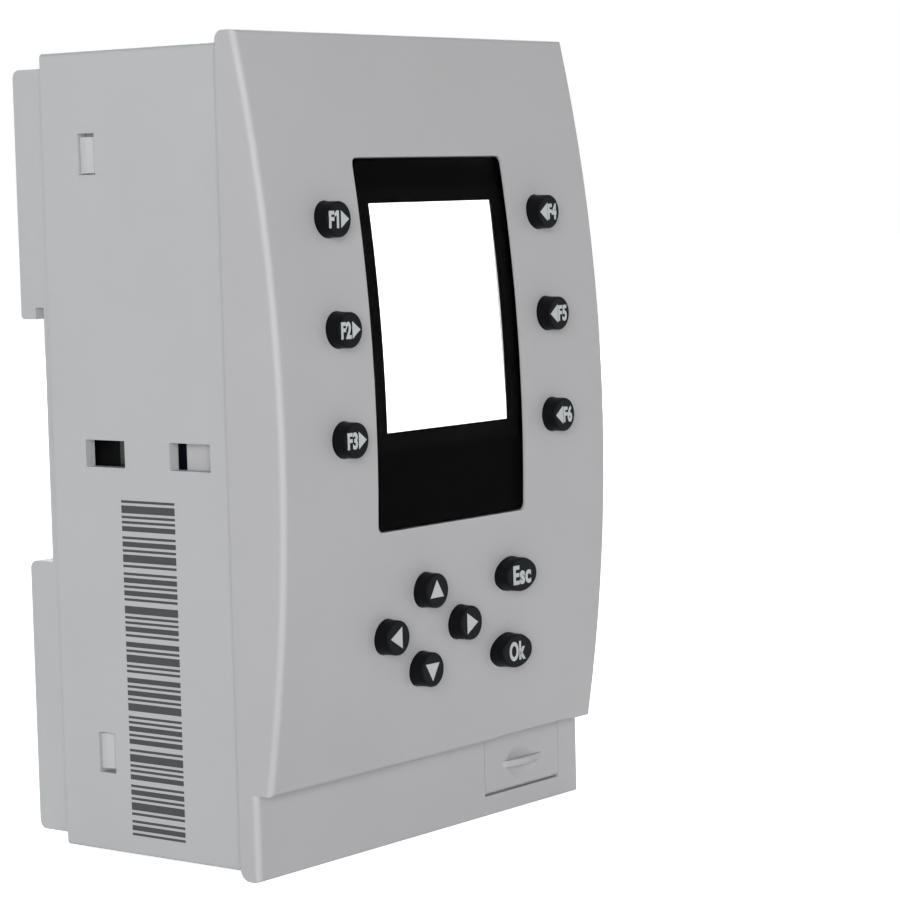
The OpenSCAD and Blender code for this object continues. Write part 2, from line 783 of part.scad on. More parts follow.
module screw_y(shank) difference() {
  union() {
    rod_y(0, 0, screw_head_r, 0, head_t);
    rod_y(0, 0, screw_r, -shank, cut);
  }
  for (a = [0, 90]) rotate([0, a, 0]) block([-1.4, head_t - 0.8, -0.25], [1.4, head_t + 1, 0.25]);
}

module front_board_screws() color([0.75, 0.75, 0.76]) part_frame() front_screws()
  translate([0, front_board_y + board_t, 0]) screw_y(board_t + front_bite);

module main_board_screws() color([0.75, 0.75, 0.76]) part_frame() main_screws()
  translate([0, main_board_y, 0]) rotate([180, 0, 0]) screw_y(board_t + main_bite);

// Finger dish above or below the ridge
module dish(z, up) intersection() {
  ball = (pow(ridge_w / 2, 2) + dish_d * dish_d) / (2 * dish_d);
  translate([port_mid, -step_depth - ball + dish_d, z - up * (ridge_w / 2 - 2.2)]) sphere(ball, $fn = 120);
  block([port_mid - ridge_w, -2 * ball, up > 0 ? z : z - dish_h],
    [port_mid + ridge_w, ball, up > 0 ? z + dish_h : z]);
}

module port_cover() color([0.66, 0.66, 0.67]) part_frame() {
  low = port_x + port_gap;
  high = port_x + port_w - port_gap;
  mid_z = port_z + port_gap + ridge_z;
  disc = (pow(ridge_w / 2, 2) + ridge_d * ridge_d) / (2 * ridge_d);
  difference() {
    union() {
      block([low, -step_depth, bead_z], [high, -step_depth + flap_t, port_top - port_gap]);
      translate([low, bead_y, bead_z]) rotate([0, 90, 0]) cylinder(r = bead_r, h = high - low);
      intersection() {
        translate([low, bead_y, bead_z]) rotate([0, 90, 0]) cylinder(r = bead_r + nose, h = high - low);
        block([low, -step_depth, 0], [high, bead_y, bead_z]);
      }
    }
    dish(mid_z + ridge_t / 2, 1);
    dish(mid_z - ridge_t / 2, -1);
  }
  intersection() {
    translate([port_mid, -step_depth - ridge_d + disc, mid_z - ridge_t / 2])
      cylinder(r = disc, h = ridge_t, $fn = 180);
    block([port_mid - ridge_w, -step_depth - 2, 0], [port_mid + ridge_w, -step_depth + dish_d, 20]);
  }
  translate([low - stub_l, bead_y, bead_z]) rotate([0, 90, 0])
    cylinder(r = stub_r, h = high - low + 2 * stub_l);
}

module port_jack() color([0.12, 0.12, 0.13]) part_frame() difference() {
  union() {
    block([port_x - 1, inner_foot_y, wall + seat_gap],
      [port_x + port_w + 1, inner_foot_y + 1.2, port_top + 0.8]);
    block([port_mid - jack_out / 2, inner_foot_y, jack_z - jack_t],
      [port_mid + jack_out / 2, inner_foot_y + jack_d, jack_z + jack_h + jack_t]);
  }
  block([port_mid - jack_w / 2, inner_foot_y - 1, jack_z],
    [port_mid + jack_w / 2, inner_foot_y + jack_d - jack_t, jack_z + jack_h]);
}

module port_contacts() color([0.85, 0.7, 0.3]) part_frame() for (i = [-2.5 : 2.5])
  translate([port_mid + i * contact_pitch, inner_foot_y, jack_z + jack_h])
    along_x(contact_w) polygon([[2.4, 0], [2.4, -0.3], [jack_d - jack_t, -0.9], [jack_d - jack_t, 0]]);

module terminal_slot() block([-row_w / 2 - plug_gap, plug_y - plug_gap, plug_low_z],
  [row_w / 2 + plug_gap, plug_y + plug_d + plug_gap, body_h + 1]);

module main_housing() color([0.7, 0.71, 0.72]) part_frame() difference() {
  translate([0, 0, body_h / 2]) along_y(0, body_d) round_rect(body_w, body_h, sleeve_r);
  block([-inner_w, -1, wall], [inner_w, body_d + 1, body_h - wall]);
  both_sides() {
    for (z = [snap_low_z, snap_top_z])
      block([inner_w - 1, snap_y - snap_w, z], [half_w + 1, snap_y, z + snap_h]);
    for (y = [square_front_y, square_rear_y])
      block([inner_w - 1, y, square_z], [half_w + 1, y + square_w, square_z + square_h]);
  }
  terminal_slot();
  at_bottom() terminal_slot();
  for (z = [wall - barb_h, body_h - wall - cut])
    block([-end_tongue_w / 2 - seat_gap, end_tongue - 2, z],
      [end_tongue_w / 2 + seat_gap, end_tongue + 0.2, z + barb_h + cut]);
}

// Arm with a ramped barb that fills a snap window, with its free play at one end
module snap_arm(z, up) {
  out = half_w - 0.4;
  low = z + (up > 0 ? 0.2 : 0.5);
  high = z + snap_h - (up > 0 ? 0.5 : 0.2);
  block([liner_w - arm_t, arm_y, z - 2.5], [liner_w, collar_y + cut, z + snap_h + 2.5]);
  front = arm_y + cut;
  translate([0, 0, low]) linear_extrude(high - low) polygon([[liner_w - cut, front],
    [liner_w, front], [out - 0.5, front + 1], [out - 0.1, front + 2],
    [out, snap_y - 0.5], [out, snap_y - 0.12], [liner_w - cut, snap_y - 0.12]]);
}

module rear_profile() difference() {
  union() {
    translate([body_d, block_low]) square([floor_t, block_top - block_low]);
    for (z = [[block_low, recess_z], [hook_z, block_top]])
      translate([body_d, z[0]]) square([rear_y - body_d, z[1] - z[0]]);
  }
  nick([rear_y, block_low], 1, -1, block_r);
  nick([rear_y, recess_z], 1, 1, block_r);
  nick([rear_y, hook_z], 1, -1, block_r / 2);
  nick([rear_y, block_top], 1, 1, block_r);
  translate([floor_y, hook_z - cut]) square([hook_d, hook_h + cut]);
}

module clip_channel() {
  wide = wing_half + clip_gap;
  block([-wide, clip_y - clip_gap, -1], [wide, clip_y + wing_t + clip_gap, recess_z + 1]);
  block([-clip_w / 2 - clip_gap, clip_y - clip_gap, -1], [clip_w / 2 + clip_gap, rear_y + 1, recess_z + 1]);
}

module rear_housing() color([0.7, 0.71, 0.72]) part_frame() {
  frame_w = liner_w - block_wall;
  rib = 1;
  pocket_rear = rear_y - block_wall;
  difference() {
    union() {
      along_x(2 * block_half) rear_profile();
      block([-liner_w, collar_y, wall + seat_gap],
        [liner_w, body_d + cut, body_h - wall - seat_gap]);
    }
    block([-frame_w, collar_y - 1, wall + seat_gap + block_wall],
      [frame_w, body_d, body_h - wall - seat_gap - block_wall]);
    both_sides() {
      block([wing_half + clip_gap + block_wall, body_d - 1, block_low + 2 * block_wall],
        [frame_w, pocket_rear, recess_z - block_wall]);
      block([rib, body_d - 1, hook_top + block_wall], [frame_w, pocket_rear, block_top - 2 * block_wall]);
    }
    clip_channel();
  }
  difference() {
    main_screws() rod_y(0, 0, boss_r, main_back, pocket_rear + root);
    main_screws() rod_y(0, 0, screw_r + pilot, main_back - 1, main_back + main_bite + 1);
  }
  both_sides() {
    snap_arm(snap_top_z, 1);
    snap_arm(snap_low_z, -1);
  }
  block([-slot_half + clip_gap, clip_y - clip_gap - root, spring_z - peg_t],
    [slot_half - clip_gap, clip_rear - 0.5, spring_z]);
}

module rail_clip() color([0.2, 0.2, 0.21]) part_frame() difference() {
  shoulder = recess_z - 1;
  union() {
    block([-wing_half, clip_y, clip_low], [wing_half, clip_y + wing_t, shoulder]);
    along_x(clip_w) polygon([[clip_y, clip_low], [clip_rear, clip_low], [clip_rear, recess_z],
      [clip_y + 0.6, clip_top], [clip_y, clip_top - 0.5]]);
  }
  block([-slot_half, clip_y - 1, spring_z - peg_t - clip_gap],
    [slot_half, rear_y + 1, spring_z + spring_l]);
  block([-3, clip_y + wing_t, clip_low + 2], [3, rear_y + 1, clip_low + 4]);
}

function helix(t) = [spring_r * cos(360 * t * spring_turns), spring_r * sin(360 * t * spring_turns),
  spring_wire / 2 + t * (spring_l - spring_wire)];

module clip_spring() color([0.8, 0.8, 0.82]) part_frame() translate([0, spring_y, spring_z]) {
  sides = 8;
  rings = spring_turns * 12;
  points = [for (i = [0 : rings], j = [0 : sides - 1])
    let (a = 360 * i / rings * spring_turns, b = 360 * j / sides, r = spring_wire / 2)
      helix(i / rings) + r * [cos(b) * cos(a), cos(b) * sin(a), sin(b)]];
  walls = [for (i = [0 : rings - 1], j = [0 : sides - 1])
    [i * sides + j, i * sides + (j + 1) % sides, (i + 1) * sides + (j + 1) % sides, (i + 1) * sides + j]];
  ends = [[for (j = [sides - 1 : -1 : 0]) j], [for (j = [0 : sides - 1]) rings * sides + j]];
  polyhedron(points, concat(walls, ends));
}

module main_board() color([0.05, 0.25, 0.12]) part_frame() difference() {
  block([-main_half, main_board_y, wall + board_gap], [main_half, main_back, body_h - wall - board_gap]);
  main_screws() rod_y(0, 0, screw_r + 2 * pilot, main_board_y - 1, main_back + 1);
}

module relay(i) color([0.12, 0.16, 0.22]) part_frame()
  translate([relay_x + (i % relay_cols) * relay_step, main_board_y,
    relay_z + floor(i / relay_cols) * relay_row]) difference() {
    block([-relay_w / 2, -relay_d, 0], [relay_w / 2, 0, relay_l]);
    both_sides() block([relay_w / 2 - 0.4, -1.2, -1], [relay_w / 2 + 1, -0.8, relay_l + 1]);
    rod_y(relay_w / 2 - 1.6, 1.6, 0.6, -relay_d - 1, -relay_d + 0.3);
  }

module transformer_frame() translate([13, main_board_y, parts_z + core_w / 2]) children();

module transformer_core() color([0.2, 0.2, 0.2]) part_frame() transformer_frame() difference() {
  block([-core_w / 2, -core_d - core_lift, -core_w / 2], [core_w / 2, -core_lift, core_w / 2]);
  both_sides() block([limb, -core_d - 3, -window_half], [window_half, 0, window_half]);
}

module transformer_coil() color([0.85, 0.7, 0.2]) part_frame() transformer_frame() difference() {
  half = window_half - 0.3;
  block([-half, -core_d - 1, -half], [half, 0, half]);
  block([-limb - 0.1, -core_d - 2, -core_w], [limb + 0.1, 0.1 - core_lift, core_w]);
}

module capacitors() color([0.1, 0.1, 0.2]) part_frame() for (i = [0, 1])
  translate([cap_x, main_board_y, relay_z + 12 + i * (2 * cap_r + 2)])
    rotate([90, 0, 0]) difference() {
      cylinder(r = cap_r, h = cap_d);
      translate([0, 0, 1.4]) rotate_extrude() translate([cap_r + 0.1, 0]) circle(0.5);
      translate([-cap_r, -0.2, cap_d - 0.3]) cube([2 * cap_r, 0.4, 1]);
    }

module optocouplers() color([0.1, 0.1, 0.1]) part_frame() for (i = [0 : opto_count - 1])
  translate([(i - (opto_count - 1) / 2) * opto_pitch, main_board_y, opto_z]) {
    block([-opto_w / 2, -opto_d - 0.4, 0], [opto_w / 2, -0.4, opto_w]);
    for (x = [-opto_w / 2 + 0.2, opto_w / 2 - 0.2]) block([x - 0.3, -2, 1], [x + 0.3, 0, opto_w - 1]);
  }

module controller_chip() color([0.1, 0.1, 0.1]) part_frame() {
  y = front_board_y + board_t;
  block([chip_x, y + 0.1, chip_z], [chip_x + chip_w, y + 0.1 + chip_t, chip_z + chip_w]);
  for (i = [0 : chip_w - 2]) {
    block([chip_x - 1, y, chip_z + 0.7 + i], [chip_x + chip_w + 1, y + 0.3, chip_z + 1.1 + i]);
    block([chip_x + 0.7 + i, y, chip_z - 1], [chip_x + 1.1 + i, y + 0.3, chip_z + chip_w + 1]);
  }
}

// Potted supply block behind the main board, next to the sleeve's side windows
module supply_module() color([0.04, 0.04, 0.04]) part_frame()
  translate([supply_x + supply_w / 2, 0, supply_z]) difference() {
    rear = main_back + supply_d;
    along_y(main_back, rear) round_rect(supply_w, supply_h, 1);
    along_y(rear - 0.6, rear + cut)
      round_rect(supply_w - 2 * supply_wall, supply_h - 2 * supply_wall, 0.5);
  }

// Bar of plastic round the row of link pins
module link_bar(y0, y1) block([link_x - link_half, y0, link_z - link_half],
  [link_x + (link_count - 1) * link_pitch + link_half, y1, link_z + link_half]);

module link_pins(r, y0, y1) for (i = [0 : link_count - 1])
  translate([link_x + i * link_pitch, 0, link_z]) block([-r, y0, -r], [r, y1, r]);

module link_header() color([0.75, 0.65, 0.3]) part_frame() {
  link_bar(main_board_y - link_bar_t, main_board_y);
  link_pins(link_pin / 2, link_pin_y, main_board_y - link_bar_t + 0.5);
}

module link_socket() color([0.1, 0.1, 0.1]) part_frame() difference() {
  link_bar(front_board_y + board_t, link_end_y);
  link_pins(link_pin / 2 + 0.08, link_pin_y - 1, link_end_y + 0.5);
}

module pole_places() for (i = [0 : poles - 1]) translate([(i - (poles - 1) / 2) * pitch, 0, 0]) children();

module header() difference() {
  grow = header_t + plug_gap;
  block([-row_w / 2 - grow, header_y, header_z], [row_w / 2 + grow, main_board_y, header_z + header_h]);
  block([-row_w / 2 - plug_gap, plug_y - plug_gap, header_z + header_floor],
    [row_w / 2 + plug_gap, plug_y + plug_d + plug_gap, header_z + header_h + 1]);
  pole_places()
    block([-pin_w / 2, pin_y - pin_w / 2, header_z - 1], [pin_w / 2, pin_y + pin_w / 2, header_z + 2]);
}

module header_pins() pole_places() {
  block([-pin_w / 2, pin_y - pin_w / 2, header_z - pin_tail],
    [pin_w / 2, pin_y + pin_w / 2, plug_low_z + pin_reach]);
  block([-pin_w / 2, pin_y, header_z - pin_tail], [pin_w / 2, main_board_y, header_z - pin_tail + pin_w]);
}

module plug() difference() {
  block([-row_w / 2, plug_y, plug_low_z], [row_w / 2, plug_y + plug_d, plug_top_z]);
  pole_places() {
    translate([0, screw_row_y, plug_top_z - term_well]) cylinder(r = term_screw_r + key_gap, h = term_well + 1);
    translate([0, screw_row_y, plug_top_z - mouth_h]) cylinder(r = screw_r + pilot, h = mouth_h - 1);
    block([-mouth_w / 2, mouth_y, plug_top_z - mouth_h], [mouth_w / 2, mouth_y + mouth_d, plug_top_z + 1]);
    block([-pin_w / 2 - 0.2, pin_y - pin_w / 2 - 0.2, plug_low_z - 1],
      [pin_w / 2 + 0.2, pin_y + pin_w / 2 + 0.2, plug_low_z + pin_reach + 0.5]);
  }
  for (i = [1 : poles - 1]) translate([-row_w / 2 + i * pitch, 0, 0])
    block([-0.25, plug_y - 1, plug_top_z - 0.5], [0.25, plug_y + plug_d + 1, plug_top_z + 1]);
}

module plug_screws() pole_places() translate([0, screw_row_y, plug_top_z - term_well]) difference() {
  union() {
    cylinder(r = term_screw_r, h = term_head_t);
    translate([0, 0, -term_shank]) cylinder(r = screw_r, h = term_shank + 0.5);
  }
  block([-2, -0.25, term_head_t - 0.7], [2, 0.25, term_head_t + 0.4]);
}

module header_top() color([0.2, 0.2, 0.21]) part_frame() header();
module header_bottom() color([0.2, 0.2, 0.21]) part_frame() at_bottom() header();
module header_pins_top() color([0.8, 0.75, 0.5]) part_frame() header_pins();
module header_pins_bottom() color([0.8, 0.75, 0.5]) part_frame() at_bottom() header_pins();
module plug_top() color([0.25, 0.26, 0.27]) part_frame() plug();
module plug_bottom() color([0.25, 0.26, 0.27]) part_frame() at_bottom() plug();
module plug_screws_top() color([0.8, 0.8, 0.8]) part_frame() plug_screws();
module plug_screws_bottom() color([0.8, 0.8, 0.8]) part_frame() at_bottom() plug_screws();

front_cover();
display_lens();
display_mask();
screen_module();
screen_holder();
for (k = KEYS) key_cap(k);
front_board();
key_switches();
front_board_screws();
port_cover();
port_jack();
port_contacts();
main_housing();
rear_housing();
rail_clip();
clip_spring();
main_board();
main_board_screws();
for (i = [0 : 7]) relay(i);
transformer_core();
transformer_coil();
capacitors();
optocouplers();
controller_chip();
supply_module();
link_header();
link_socket();
header_top();
header_bottom();
header_pins_top();
header_pins_bottom();
plug_top();
plug_bottom();
plug_screws_top();
plug_screws_bottom();
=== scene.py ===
import math

import bmesh
import bpy
from bpy.props import FloatProperty, FloatVectorProperty, PointerProperty
from mathutils import Euler, Matrix, Vector


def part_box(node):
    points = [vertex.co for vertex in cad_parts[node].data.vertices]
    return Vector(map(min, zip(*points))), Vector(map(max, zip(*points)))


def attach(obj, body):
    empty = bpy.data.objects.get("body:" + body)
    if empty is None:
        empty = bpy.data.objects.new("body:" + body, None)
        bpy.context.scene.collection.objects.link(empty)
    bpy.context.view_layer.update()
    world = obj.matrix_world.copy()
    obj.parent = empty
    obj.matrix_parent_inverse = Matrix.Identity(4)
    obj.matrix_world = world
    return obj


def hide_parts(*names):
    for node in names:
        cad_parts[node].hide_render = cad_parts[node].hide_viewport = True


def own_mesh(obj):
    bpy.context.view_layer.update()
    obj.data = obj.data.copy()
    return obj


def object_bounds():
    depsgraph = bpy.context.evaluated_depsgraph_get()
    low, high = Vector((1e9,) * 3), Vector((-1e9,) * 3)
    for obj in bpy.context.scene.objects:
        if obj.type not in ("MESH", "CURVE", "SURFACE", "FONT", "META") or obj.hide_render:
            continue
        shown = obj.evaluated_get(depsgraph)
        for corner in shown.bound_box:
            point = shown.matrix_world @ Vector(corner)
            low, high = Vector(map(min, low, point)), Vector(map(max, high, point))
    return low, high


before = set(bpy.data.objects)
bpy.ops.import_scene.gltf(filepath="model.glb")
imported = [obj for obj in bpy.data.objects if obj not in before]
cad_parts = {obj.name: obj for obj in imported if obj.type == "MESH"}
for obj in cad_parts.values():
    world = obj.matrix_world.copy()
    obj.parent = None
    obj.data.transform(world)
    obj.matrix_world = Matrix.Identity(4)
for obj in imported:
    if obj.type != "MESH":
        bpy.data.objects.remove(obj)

bl_info = {
    "name": "Logic Relay Looks",
    "version": (1, 0, 0),
    "blender": (4, 5, 0),
    "location": "View3D > Sidebar > Logic Relay",
    "description": "Finishes, key legends, side stripes and studio of a rail-mounted logic relay",
    "category": "Object",
}

MM = 0.001
CAD_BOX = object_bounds()
SLEEVE_LOW, SLEEVE_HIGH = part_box("main_housing")
KEYS = tuple("key_" + name for name in ("f1", "f2", "f3", "f4", "f5", "f6",
                                        "up", "left", "right", "down", "esc", "ok"))
RELAYS = tuple(f"relay_{number}" for number in range(1, 9))
SCREWS = ("front_board_screws", "main_board_screws", "plug_screws_top", "plug_screws_bottom")

# The texture of a moulded part whose own isn't given
GRAIN_SIZE = 0.16 * MM
GRAIN_DEPTH = 0.006 * MM

# The block of stripes on the side: widths in modules, repeated from its foot to its top
STRIPE_WIDTHS = (1, 2, 1, 1, 3, 1, 2)
STRIPE_GAPS = (1, 1, 2, 1, 1)

# Print on the keys
LETTER_SIZE = 4 * MM            # letters are drawn at this size and then fitted
LETTER_SPACING = 1.08
LETTER_CURVE_STEPS = 6
LEGEND_DEPTH = 4                # ink thicknesses from front to rear, most of them in the key
ARROW_KEYS = {"up": (0, 1), "down": (0, -1), "left": (-1, 0), "right": (1, 0)}
ARROW_SHIFT = 0.33 * MM         # from the key's middle, the way that the arrow points
ARROW_ASIDE = -0.2 * MM         # across, on all four

# The stage, in metres. Each square lamp has its place and the length of its side.
LAMPS = {
    "key": ((-1.0, -0.78, 0.24), 0.7),
    "fill": ((0.55, -1.2, 0.6), 0.9),
    "rear": ((0.9, 0.75, 0.6), 0.9),
}
LAMP_TARGET = Vector((0, 0, 0.055))
FLOOR_REACH = 4                 # from the object to each edge
NEAREST_SEEN = 0.01             # where the camera begins to see
SENSOR_WIDTH = 36               # millimetres, as the lens is

# A Mix node's sockets for colours, which share their names with those for other values
MIX_MASK, MIX_FIRST, MIX_SECOND, MIX_RESULT = 0, 6, 7, 2


def display_colour(red, green, blue):
    """A colour read from a screen, 0 to 255, as the linear values that shaders take."""
    def channel(value):
        value /= 255
        return value / 12.92 if value <= 0.04045 else ((value + 0.055) / 1.055) ** 2.4
    return tuple(channel(value) for value in (red, green, blue))


def colour_property(name, description, rgb):
    return FloatVectorProperty(name=name, description=description, subtype="COLOR",
                               size=3, min=0, max=1, default=display_colour(*rgb))


def share_property(name, description, value):
    return FloatProperty(name=name, description=description, subtype="FACTOR",
                         min=0, max=1, default=value)


def length_property(name, description, value):
    return FloatProperty(name=name, description=description, unit="LENGTH",
                         min=0, precision=5, default=value)


def level_property(name, description, highest, value):
    return FloatProperty(name=name, description=description, min=0, max=highest, default=value)


def power_property(name, description, value):
    return FloatProperty(name=name, description=description, unit="POWER",
                         min=0, max=500, default=value)


# Settings

class RelayCaseSettings(bpy.types.PropertyGroup):
    cover_colour: colour_property("Cover", "Colour of the front cover and its flap",
                                  (178, 178, 180))
    housing_colour: colour_property("Housing", "Colour of the sleeve and the rear shell",
                                    (180, 182, 184))
    roughness: share_property("Roughness", "How dull the moulded plastic is", 0.52)
    grain_size: length_property("Grain size", "Width of one grain of the mould's texture",
                                GRAIN_SIZE)
    grain_depth: length_property("Grain depth", "Depth of the mould's texture", GRAIN_DEPTH)
    mottle: share_property("Mottle", "How much the plastic's colour varies", 0.025)


class RelayKeySettings(bpy.types.PropertyGroup):
    cap_colour: colour_property("Caps", "Colour of the keys", (13, 14, 16))
    legend_colour: colour_property("Legends", "Colour of the printed legends", (190, 195, 198))
    number_height: length_property("Number height", "Height of the numbers", 2.4 * MM)
    word_height: length_property("Word height", "Height of the words", 2.85 * MM)
    ink_thickness: length_property("Ink thickness", "How far a legend stands on its key",
                                   0.012 * MM)
    stroke_gain: length_property("Stroke gain", "How much bolder the letters are drawn",
                                 0.15 * MM)


class RelayDisplaySettings(bpy.types.PropertyGroup):
    glass_colour: colour_property("Glass", "Tint of the display window", (250, 250, 250))
    border_colour: colour_property("Border", "Ink behind the window", (3, 3, 3))
    screen_colour: colour_property("Screen", "Colour of the lit screen", (255, 255, 255))
    brightness: level_property("Brightness", "Strength of the lit screen", 10, 1.25)


class RelayStripeSettings(bpy.types.PropertyGroup):
    colour: colour_property("Ink", "Colour of the stripes on the side", (66, 66, 69))
    rear: length_property("Rear", "Distance of the block from the sleeve's rear edge",
                          12.9 * MM)
    length: length_property("Length", "Length of each stripe", 10.1 * MM)
    low: length_property("Low end", "Height of the block above the sleeve's underside",
                         2.8 * MM)
    height: length_property("Height", "Height of the whole block", 47.4 * MM)
    module: length_property("Module", "Width of the thinnest stripe", 0.36 * MM)
    thickness: length_property("Thickness", "How far the ink stands on the sleeve", 0.012 * MM)


class RelayStageSettings(bpy.types.PropertyGroup):
    camera_place: FloatVectorProperty(
        name="Camera", description="Place of the camera", subtype="TRANSLATION", unit="LENGTH",
        size=3, default=(-0.33594, -0.28698, 0.09269))
    camera_turn: FloatVectorProperty(
        name="Camera turn", description="Heading, tilt and roll of the camera", subtype="EULER",
        size=3, default=tuple(math.radians(angle) for angle in (51.843, -4.922, -1.481)))
    lens: FloatProperty(
        name="Lens", description="Focal length in millimetres on a 36 mm sensor",
        min=10, max=500, default=120.95)
    ambient: level_property("Ambient", "Level of the light from all round", 5, 0.17)
    key_power: power_property("Key lamp", "Power of the large lamp behind the camera", 15.8)
    fill_power: power_property("Fill lamp", "Power of the lamp on the right", 0.9)
    rear_power: power_property("Rear lamp", "Power of the lamp behind the object", 9)
    floor_colour: colour_property("Floor", "Colour of the floor", (252, 252, 252))
    floor_lift: level_property("Floor lift", "How much paler the floor looks to the camera",
                               2, 0.85)


class RelaySettings(bpy.types.PropertyGroup):
    case: PointerProperty(type=RelayCaseSettings)
    keys: PointerProperty(type=RelayKeySettings)
    display: PointerProperty(type=RelayDisplaySettings)
    stripes: PointerProperty(type=RelayStripeSettings)
    stage: PointerProperty(type=RelayStageSettings)


# Shader nodes and node groups

def feed(tree, socket, value):
    """Links a socket to an input, or sets the input to a plain value."""
    if isinstance(value, bpy.types.NodeSocket):
        tree.links.new(value, socket)
    else:
        socket.default_value = value


def add_node(tree, kind, settings=None, **inputs):
    """Adds a node, sets its own settings, and feeds its inputs by name."""
    made = tree.nodes.new(kind)
    for name, value in (settings or {}).items():
        setattr(made, name, value)
    for name, value in inputs.items():
        feed(tree, made.inputs[name.replace("_", " ")], value)
    return made


def calculate(tree, operation, first, second=0):
    """The result of a Math node on one or two sockets or numbers."""
    made = add_node(tree, "ShaderNodeMath", {"operation": operation})
    feed(tree, made.inputs[0], first)
    feed(tree, made.inputs[1], second)
    return made.outputs[0]


def spread(tree, mask, **limits):
    """A mask that is mapped from one range to another, each 0 to 1 where it isn't named."""
    return add_node(tree, "ShaderNodeMapRange", Value=mask, **limits).outputs[0]


def own_place(tree, axes="Object"):
    """A point of the surface, or its direction, in the object's own coordinates."""
    return add_node(tree, "ShaderNodeTexCoord").outputs[axes]


def noise(tree, scale, detail, stretch=None):
    """Noise on the object's own coordinates, stretched along some of its axes."""
    place = own_place(tree)
    if stretch:
        place = add_node(tree, "ShaderNodeMapping", Vector=place, Scale=stretch).outputs[0]
    return add_node(tree, "ShaderNodeTexNoise", Vector=place, Scale=scale,
                    Detail=detail).outputs[0]


def new_group(name, inputs, outputs):
    """A shader node group with float inputs and outputs, and the sockets inside it."""
    tree = bpy.data.node_groups.new(name, "ShaderNodeTree")
    for label, value in inputs.items():
        socket = tree.interface.new_socket(label, in_out="INPUT", socket_type="NodeSocketFloat")
        socket.default_value = value
    for label in outputs:
        tree.interface.new_socket(label, in_out="OUTPUT", socket_type="NodeSocketFloat")
    given, result = (tree.nodes.new(kind) for kind in ("NodeGroupInput", "NodeGroupOutput"))
    return tree, given.outputs, result.inputs


def moulded_grain_group():
    """Fine spark-eroded grain of a moulded part, with slow changes in its colour."""
    tree, given, result = new_group("Moulded Grain", {"Grain Scale": 6000, "Slow Scale": 60},
                                    ("Height", "Mottle"))
    fine = noise(tree, given["Grain Scale"], detail=2)
    slow = noise(tree, given["Slow Scale"], detail=3)
    mottle = spread(tree, slow, From_Min=0.35, From_Max=0.65)
    tree.links.new(fine, result["Height"])
    tree.links.new(mottle, result["Mottle"])
    return tree


def surface_marks_group():
    """Sparse faint marks from handling, such as fine dust and rubbed spots."""
    tree, given, result = new_group("Surface Marks", {"Spot Scale": 900, "Rub Scale": 140},
                                    ("Dust", "Rub"))
    spots = noise(tree, given["Spot Scale"], detail=1)
    rubs = noise(tree, given["Rub Scale"], detail=4)
    tree.links.new(spread(tree, spots, From_Min=0.70, From_Max=0.80), result["Dust"])
    tree.links.new(spread(tree, rubs, From_Min=0.50, From_Max=0.75), result["Rub"])
    return tree


def drawn_metal_group():
    """Fine drawing or rolling lines along the part's height, and a slightly uneven tone."""
    tree, given, result = new_group("Drawn Metal", {"Line Scale": 5000}, ("Height", "Tone"))
    lines = noise(tree, given["Line Scale"], detail=2, stretch=(1, 1, 0.06))
    clouds = noise(tree, 700, detail=2)
    tree.links.new(lines, result["Height"])
    tree.links.new(spread(tree, clouds, From_Min=0.3, From_Max=0.7), result["Tone"])
    return tree


def group_node(tree, maker, **inputs):
    """Places a shader group in a material. The group itself is built once."""
    title = maker.__name__.removesuffix("_group").replace("_", " ").title()
    made = tree.nodes.new("ShaderNodeGroup")
    made.node_tree = bpy.data.node_groups.get(title) or maker()
    for name, value in inputs.items():
        made.inputs[name.replace("_", " ")].default_value = value
    return made.outputs


def seen_directly(tree):
    """1 for what the camera sees straight, in a gloss or through glass, and 0 for lighting."""
    seen = add_node(tree, "ShaderNodeLightPath").outputs
    direct = calculate(tree, "MAXIMUM", seen["Is Camera Ray"], seen["Is Glossy Ray"])
    return calculate(tree, "MAXIMUM", direct, seen["Is Transmission Ray"])


# Materials

def new_material(name):
    """A new material with its node tree and its shader."""
    material = bpy.data.materials.new(name)
    material.use_nodes = True
    return material, material.node_tree, material.node_tree.nodes["Principled BSDF"]


def scaled(colour, factor, lift=0):
    """A colour that is made darker or paler, with its alpha, as sockets take it."""
    return tuple(min(1, channel * factor + lift) for channel in colour[:3]) + (1,)


def blend_colours(tree, mask, first, second):
    """The first colour where a mask is 0, and the second where it is 1."""
    made = add_node(tree, "ShaderNodeMix", {"data_type": "RGBA"})
    tree.links.new(mask, made.inputs[MIX_MASK])
    made.inputs[MIX_FIRST].default_value = scaled(first, 1)
    made.inputs[MIX_SECOND].default_value = scaled(second, 1)
    return made.outputs[MIX_RESULT]


def base_colour(tree, bsdf, mask, first, second):
    tree.links.new(blend_colours(tree, mask, first, second), bsdf.inputs["Base Color"])


def roughness_from(tree, bsdf, mask, low, high):
    tree.links.new(spread(tree, mask, To_Min=low, To_Max=high), bsdf.inputs["Roughness"])


def bump_from(tree, bsdf, height, depth):
    bump = add_node(tree, "ShaderNodeBump", Height=height, Distance=depth)
    tree.links.new(bump.outputs[0], bsdf.inputs["Normal"])


def moulded_plastic(name, colour, roughness, grain_size=GRAIN_SIZE, grain_depth=GRAIN_DEPTH,
                    mottle=0.1, gloss=0.5):
    """Moulded plastic with the mould's grain, slow mottling and faint marks."""
    material, tree, bsdf = new_material(name)
    grain = group_node(tree, moulded_grain_group, Grain_Scale=1 / grain_size, Slow_Scale=45)
    marks = group_node(tree, surface_marks_group, Spot_Scale=900, Rub_Scale=140)
    base_colour(tree, bsdf, grain["Mottle"], colour, scaled(colour, 1 - mottle))
    roughness_from(tree, bsdf, marks["Rub"], low=roughness + 0.02, high=roughness - 0.03)
    bump_from(tree, bsdf, grain["Height"], grain_depth)
    bsdf.inputs["Specular IOR Level"].default_value = gloss
    return material


